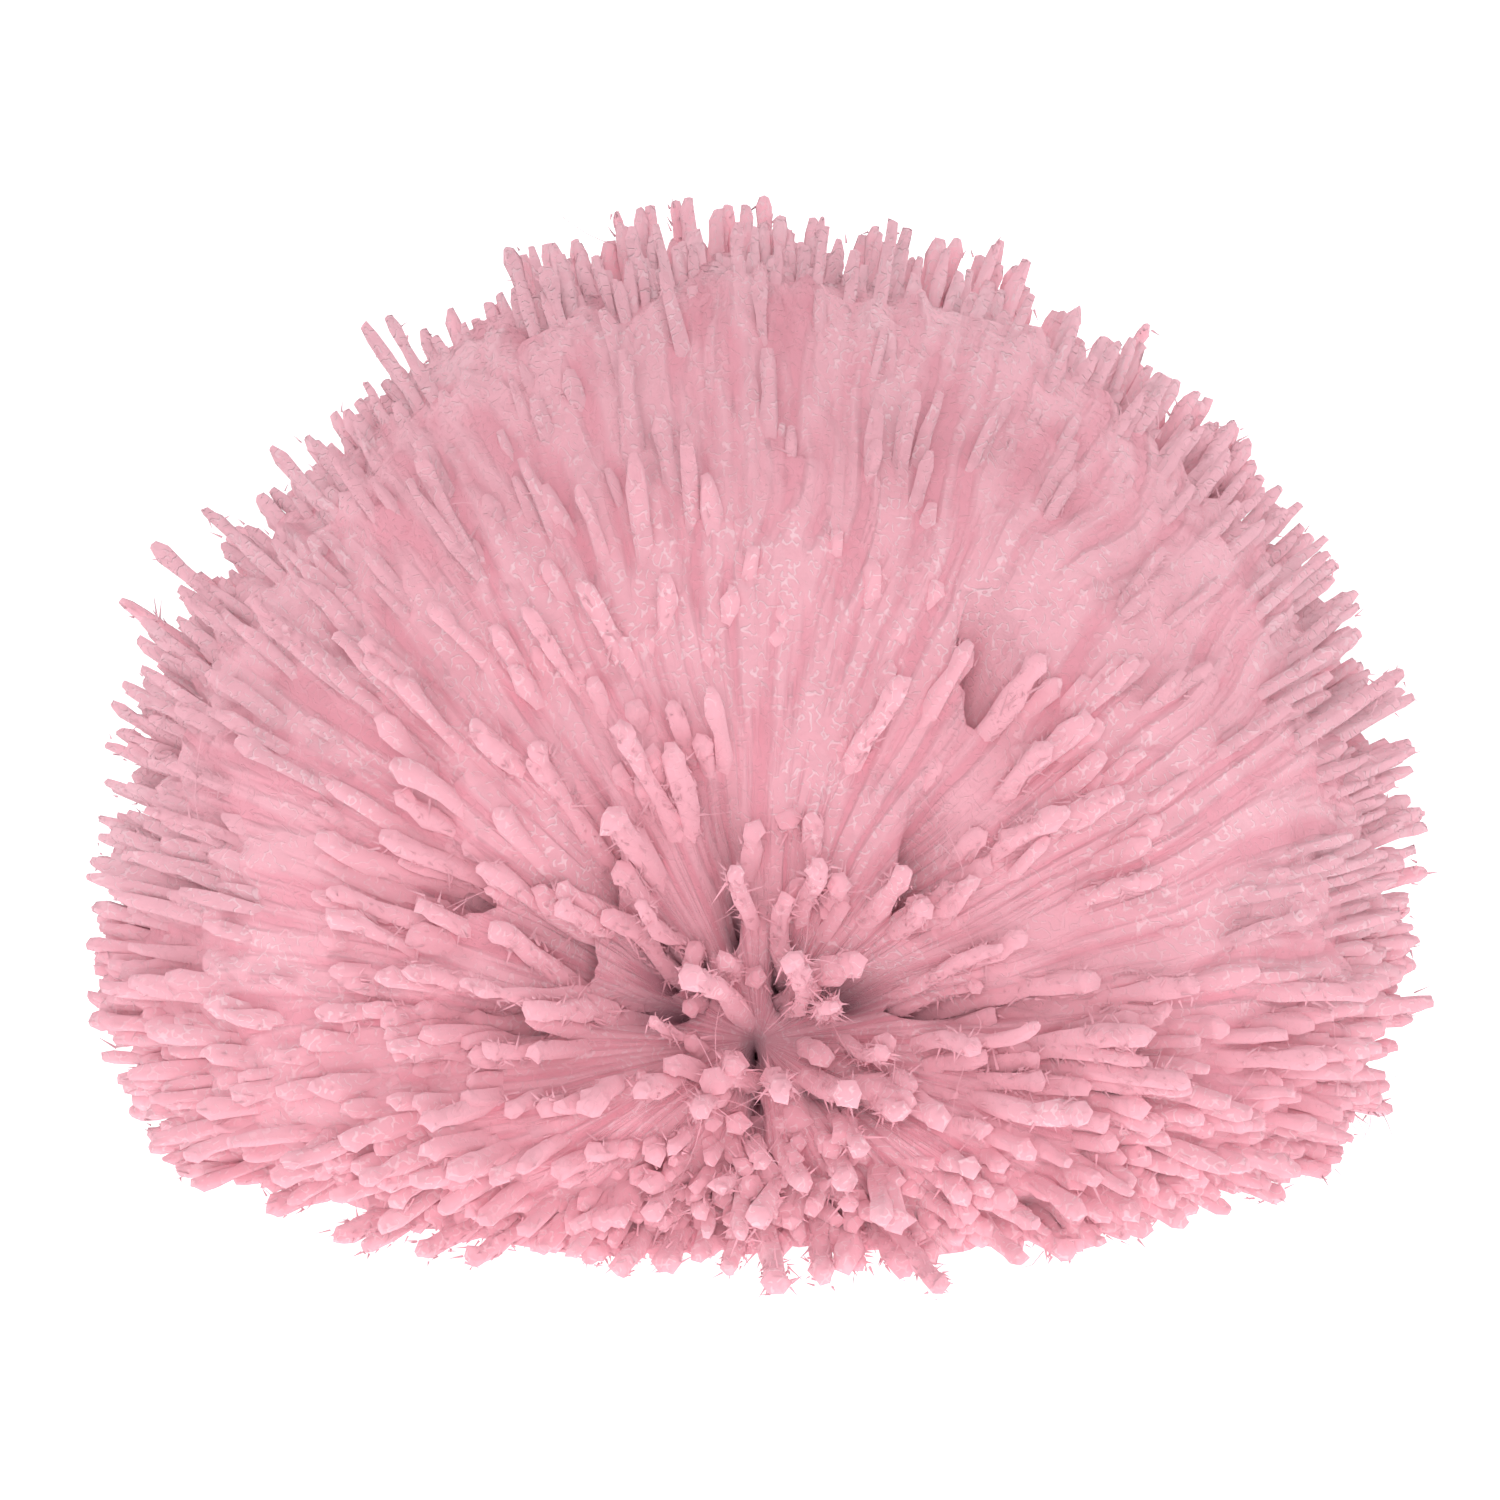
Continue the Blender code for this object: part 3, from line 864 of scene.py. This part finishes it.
class NodeSketch:
    """Short ways to add shader nodes to one tree."""

    def __init__(self, tree):
        self.tree = tree
        self.coordinates = tree.nodes.new("ShaderNodeTexCoord").outputs["Object"]

    def noise(self, scale, detail, vector=None):
        texture = self.tree.nodes.new("ShaderNodeTexNoise")
        fill(texture, {"Scale": scale, "Detail": detail})
        self.tree.links.new(vector or self.coordinates, texture.inputs["Vector"])
        return texture.outputs["Fac"]

    def calculate(self, kind, operation, values):
        """The outputs of a node whose inputs are values or linked to other nodes."""
        step = self.tree.nodes.new(kind)
        step.operation = operation
        for socket, value in zip(step.inputs, values):
            if isinstance(value, (float, tuple)):
                socket.default_value = value
            else:
                self.tree.links.new(value, socket)
        return step.outputs

    def arithmetic(self, operation, *values):
        return self.calculate("ShaderNodeMath", operation, values)["Value"]

    def times(self, first, second):
        return self.arithmetic("MULTIPLY", first, second)

    def ramp(self, value, low, high, start=0.0, end=1.0):
        step = self.tree.nodes.new("ShaderNodeMapRange")
        fill(step, {"From Min": low, "From Max": high, "To Min": start, "To Max": end})
        self.tree.links.new(value, step.inputs["Value"])
        return step.outputs["Result"]

    def vector(self, operation, *values):
        outputs = self.calculate("ShaderNodeVectorMath", operation, values)
        return outputs["Value" if operation in ("DOT_PRODUCT", "LENGTH") else "Vector"]

    def mix(self, factor, first, second):
        step = self.tree.nodes.new("ShaderNodeMix")
        step.data_type = "RGBA"
        for name, value in (("Factor", factor), ("A", first), ("B", second)):
            self.tree.links.new(value, step.inputs[name])
        return step.outputs["Result"]


def fibre_grain(scene):
    """A node group of short curly fibres matted over the yarn, thickest away from the front, with painted
    light and shade: highlights on the fibres and round the rim, a paler sheen on the upper rim, and shade
    in the grooves and close to the tie.
    """
    name = "fibre_grain"
    if name in bpy.data.node_groups:
        return bpy.data.node_groups[name]
    group = bpy.data.node_groups.new(name, "ShaderNodeTree")
    sockets = [(name, "INPUT", "Color") for name in YARN_COLOURS]
    sockets += [("Flecks", "INPUT", "Float"), ("Streaks", "INPUT", "Float")]
    sockets += [("Colour", "OUTPUT", "Color"), ("Height", "OUTPUT", "Float")]
    for socket, way, kind in sockets:
        group.interface.new_socket(name=socket, in_out=way, socket_type="NodeSocket" + kind)
    sketch = NodeSketch(group)
    inlet = group.nodes.new("NodeGroupInput").outputs
    outlet = group.nodes.new("NodeGroupOutput").inputs
    noise, ramp, vector = sketch.noise, sketch.ramp, sketch.vector
    arithmetic, times, mix = sketch.arithmetic, sketch.times, sketch.mix

    right, up, near = (tuple(float(part) for part in axis) for axis in view_axes(scene.pompom_stage))
    from_tie = vector("SUBTRACT", sketch.coordinates, tuple(float(part) for part in TIE))
    across, height, depth = (vector("DOT_PRODUCT", from_tie, axis) for axis in (right, up, near))
    # Where painted light is laid: yarn off to the side of the front, towards the outline, and yarn low
    # down.
    rim = arithmetic("MAXIMUM", ramp(depth, 0.050, 0.005), ramp(height, -0.004, -0.018, 0.0, 0.8))

    # A fibre shows where one noise passes its middle value, broken up by another.
    off_middle = arithmetic("ABSOLUTE", arithmetic("SUBTRACT", noise(1250.0, 0.0), 0.5))
    fibre = ramp(off_middle, 0.075, 0.03)
    breaks = ramp(noise(2000.0, 0.0), 0.42, 0.50)
    cloud = arithmetic("ADD", noise(75.0, 3.0), times(rim, 0.14))
    relief = times(fibre, breaks)
    # The flecks are painted highlights on the fibres, which also stand out as a bump.
    flecks = times(relief, ramp(cloud, 0.40, 0.62))
    # Painted haze: patches of light laid over the rim and the yarn low down.
    haze_patches = ramp(noise(700.0, 3.0), 0.42, 0.58, 0.10, 0.70)
    painted_haze = times(ramp(cloud, 0.54, 0.70), haze_patches)
    painted_haze = times(painted_haze, ramp(rim, 0.25, 0.80, 0.15, 0.90))
    light = times(arithmetic("MAXIMUM", flecks, painted_haze), inlet["Flecks"])

    # Streaks run away from the front: fine across, drawn out along the yarn. Their grooves are sunk as a
    # bump and darkened towards the shade colour as painted shade.
    combine = group.nodes.new("ShaderNodeCombineXYZ")
    squares = arithmetic("ADD", times(across, across), times(height, height))
    off_axis = arithmetic("SQRT", squares)
    wander = times(noise(40.0, 1.0), 0.16)
    values = (arithmetic("ADD", arithmetic("DIVIDE", across, off_axis), wander),
              arithmetic("SUBTRACT", arithmetic("DIVIDE", height, off_axis), wander),
              times(off_axis, 3.0))
    for socket, value in zip(combine.inputs, values):
        group.links.new(value, socket)
    streak = noise(22.0, 2.5, combine.outputs["Vector"])
    in_front = ramp(depth, -0.025, 0.005)
    groove = times(ramp(streak, 0.53, 0.37), in_front)
    groove = times(groove, inlet["Streaks"])

    # Painted sheen: the upper rim, seen off the front, is mixed towards a lighter colour.
    painted_sheen_mask = times(ramp(depth, 0.035, 0.010), ramp(height, 0.005, 0.045, 0.0, 0.85))
    with_painted_sheen = mix(painted_sheen_mask, inlet["Colour"], inlet["Painted rim sheen"])
    coloured = mix(light, with_painted_sheen, inlet["Fleck colour"])
    shaded = mix(groove, coloured, inlet["Shade colour"])
    # Painted shade: the yarn close to the tie is darkened towards the deep shade colour.
    deep = ramp(vector("LENGTH", from_tie), 0.034, 0.017, 0.0, 0.85)
    group.links.new(mix(deep, shaded, inlet["Painted deep shade"]), outlet["Colour"])
    lumps = times(noise(620.0, 3.0), 4.0)
    rough = arithmetic("SUBTRACT", arithmetic("ADD", relief, lumps), times(groove, 8.0))
    group.links.new(rough, outlet["Height"])
    return group


def yarn_material(name, scene):
    """The material of that name, with its own share of flecks (painted highlights), bumps and streaks
    (grooves of bump and painted shade).
    """
    if name in bpy.data.materials:
        return bpy.data.materials[name]
    material = bpy.data.materials.new(name)
    material.use_nodes = True
    nodes, links = material.node_tree.nodes, material.node_tree.links
    shader = nodes["Principled BSDF"]
    fill(shader, {
        "Roughness": 0.92,
        "Diffuse Roughness": 0.6,
        "Specular IOR Level": 0.12,
        "Sheen Weight": 0.6,
        "Sheen Roughness": 0.5,
        "Sheen Tint": (1.0, 0.55, 0.63, 1.0),
    })
    flecks, bump, streaks = MATERIALS[name]
    grain = nodes.new("ShaderNodeGroup")
    grain.node_tree = fibre_grain(scene)
    for colour in YARN_COLOURS:
        own = getattr(scene.pompom_yarn, colour.lower().replace(" ", "_"))
        grain.inputs[colour].default_value = own
    fill(grain, {"Flecks": flecks, "Streaks": streaks})
    links.new(grain.outputs["Colour"], shader.inputs["Base Color"])
    relief = nodes.new("ShaderNodeBump")
    fill(relief, {"Strength": bump, "Distance": RELIEF})
    links.new(grain.outputs["Height"], relief.inputs["Height"])
    links.new(relief.outputs["Normal"], shader.inputs["Normal"])
    return material


# --- Operators ---


def sector_of(lines):
    """Which eighth of the pompom each line ends in, counted from the front to the right."""
    tip = lines[:, -1] - TIE
    turn = np.arctan2(tip[:, 0], -tip[:, 1])
    return np.round(turn / (math.pi / 4)).astype(int) % len(SECTORS)


class POMPOM_OT_matted_yarn(Operator):
    """Dense yarn behind the cut ends"""

    bl_idname = "pompom.matted_yarn"
    bl_label = "Matted yarn"

    def execute(self, context):
        matted_piece(context.scene)
        return {"FINISHED"}


class POMPOM_OT_yarn(Operator):
    """Cut yarns that stand out of the tie, a piece for each eighth"""

    bl_idname = "pompom.yarn"
    bl_label = "Yarn"

    def execute(self, context):
        scene = context.scene
        grades = outer_strands(scene)
        for index, sector in enumerate(SECTORS):
            rng = np.random.default_rng(scene.pompom_yarn.seed + 10 + index)
            own = [strands.pick(sector_of(strands.lines) == index) for strands in grades]
            yarn_piece(f"yarn_{sector}", own, scene, rng)
        return {"FINISHED"}


class POMPOM_OT_yarn_beneath(Operator):
    """Short cut yarns under the middle, level on the table"""

    bl_idname = "pompom.yarn_beneath"
    bl_label = "Yarn beneath"

    def execute(self, context):
        rng = np.random.default_rng(context.scene.pompom_yarn.seed + 20)
        yarn_piece("yarn_beneath", [beneath_strands(context.scene)], context.scene, rng)
        return {"FINISHED"}


class POMPOM_OT_fuzz(Operator):
    """Fine fibres that stand off the yarn, a piece for each eighth"""

    bl_idname = "pompom.fuzz"
    bl_label = "Fuzz"

    def execute(self, context):
        scene = context.scene
        yarn = scene.pompom_yarn
        grades = outer_strands(scene)
        weights = (FRONT_FIBRES, 1.0)
        yarns = sum(weight * len(strands.lines) for weight, strands in zip(weights, grades))
        for index, sector in enumerate(SECTORS):
            rng = np.random.default_rng(yarn.seed + 30 + index)
            parts = []
            for weight, strands in zip(weights, grades):
                own = strands.pick(sector_of(strands.lines) == index)
                for spin, count in ((short_fibres, yarn.fibres), (long_fibres, yarn.long_fibres)):
                    own_count = round(count * weight * len(own.lines) / yarns)
                    if own_count:
                        parts.append(spin(own, own_count, yarn.plushness, rng))
            on_body(mesh_object(f"fuzz_{sector}", parts, yarn_material("loose_fibre", scene)))
        return {"FINISHED"}


class POMPOM_OT_stage(Operator):
    """White floor, soft lights and the camera"""

    bl_idname = "pompom.stage"
    bl_label = "Stage"

    def execute(self, context):
        scene = context.scene
        add_floor()
        add_world(scene)
        add_lights(scene)
        add_camera(scene)
        scene.view_settings.view_transform = "Standard"
        return {"FINISHED"}


def add_floor():
    bpy.ops.mesh.primitive_plane_add(size=12.0, location=(0.0, 0.0, 0.0))
    floor = bpy.context.object
    floor.name = "floor"
    material = bpy.data.materials.new("white_floor")
    material.use_nodes = True
    fill(material.node_tree.nodes["Principled BSDF"], {
        "Base Color": (0.50, 0.50, 0.50, 1.0),
        "Roughness": 1.0,
        "Specular IOR Level": 0.0,
        "Emission Color": WHITE,
        "Emission Strength": 1.0,
    })
    floor.data.materials.append(material)


def add_world(scene):
    """A white room: bright to look at, gentler as a light."""
    world = bpy.data.worlds.new("soft_room")
    world.use_nodes = True
    nodes, links = world.node_tree.nodes, world.node_tree.links
    background = nodes["Background"]
    fill(background, {"Color": WHITE})
    path = nodes.new("ShaderNodeLightPath")
    strength = nodes.new("ShaderNodeMapRange")
    fill(strength, {"To Min": 0.33, "To Max": 1.05})
    links.new(path.outputs["Is Camera Ray"], strength.inputs["Value"])
    links.new(strength.outputs["Result"], background.inputs["Strength"])
    scene.world = world


def add_lights(scene):
    for name, place, size, power in LIGHTS:
        light = bpy.data.lights.new(name, "AREA")
        light.size = size
        light.energy = power
        lamp = bpy.data.objects.new(name, light)
        lamp.location = place
        lamp.rotation_euler = (Vector(TIE) - Vector(place)).to_track_quat("-Z", "Y").to_euler()
        scene.collection.objects.link(lamp)


def camera_aim(stage):
    """How far the camera turns and tilts off the tie, and the angle that a pixel spans."""
    per_pixel = SENSOR / stage.lens / FRAME_PIXELS
    turn, pitch = (math.atan2(pixels * per_pixel, 1.0) for pixels in TIE_PIXELS)
    return turn, pitch, per_pixel


def add_camera(scene):
    settings = scene.pompom_stage
    data = bpy.data.cameras.new("camera")
    data.lens = settings.lens
    data.sensor_width = SENSOR
    data.clip_start = 0.01
    camera = bpy.data.objects.new("camera", data)
    scene.collection.objects.link(camera)
    back = Vector((0.0, -math.cos(settings.elevation), math.sin(settings.elevation)))
    camera.location = Vector(TIE) + back * settings.distance
    turn, pitch, _ = camera_aim(settings)
    camera.rotation_euler = (math.pi / 2 - settings.elevation + pitch, 0.0, turn)
    scene.camera = camera


class POMPOM_PT_panel(Panel):
    bl_idname = "POMPOM_PT_panel"
    bl_label = "Pom pom"
    bl_space_type = "VIEW_3D"
    bl_region_type = "UI"
    bl_category = "Pom pom"

    def draw(self, context):
        for group in (context.scene.pompom_shape, context.scene.pompom_yarn, context.scene.pompom_stage):
            box = self.layout.box()
            for name in group.bl_rna.properties.keys():
                if name not in {"rna_type", "name"}:
                    box.prop(group, name)
        for operator in OPERATORS:
            self.layout.operator(operator.bl_idname)


SETTINGS = {"pompom_shape": PompomShape, "pompom_yarn": YarnSettings, "pompom_stage": StageSettings}
OPERATORS = (
    POMPOM_OT_matted_yarn, POMPOM_OT_yarn, POMPOM_OT_yarn_beneath, POMPOM_OT_fuzz, POMPOM_OT_stage,
)


def register():
    for name, settings in SETTINGS.items():
        bpy.utils.register_class(settings)
        setattr(bpy.types.Scene, name, PointerProperty(type=settings))
    for operator in OPERATORS:
        bpy.utils.register_class(operator)
    bpy.utils.register_class(POMPOM_PT_panel)


def unregister():
    bpy.utils.unregister_class(POMPOM_PT_panel)
    for operator in reversed(OPERATORS):
        bpy.utils.unregister_class(operator)
    for name, settings in reversed(SETTINGS.items()):
        delattr(bpy.types.Scene, name)
        bpy.utils.unregister_class(settings)


def main():
    register()
    bpy.ops.pompom.stage()
    bpy.ops.pompom.matted_yarn()
    bpy.ops.pompom.yarn()
    bpy.ops.pompom.yarn_beneath()
    bpy.ops.pompom.fuzz()


if __name__ == "__main__":
    main()
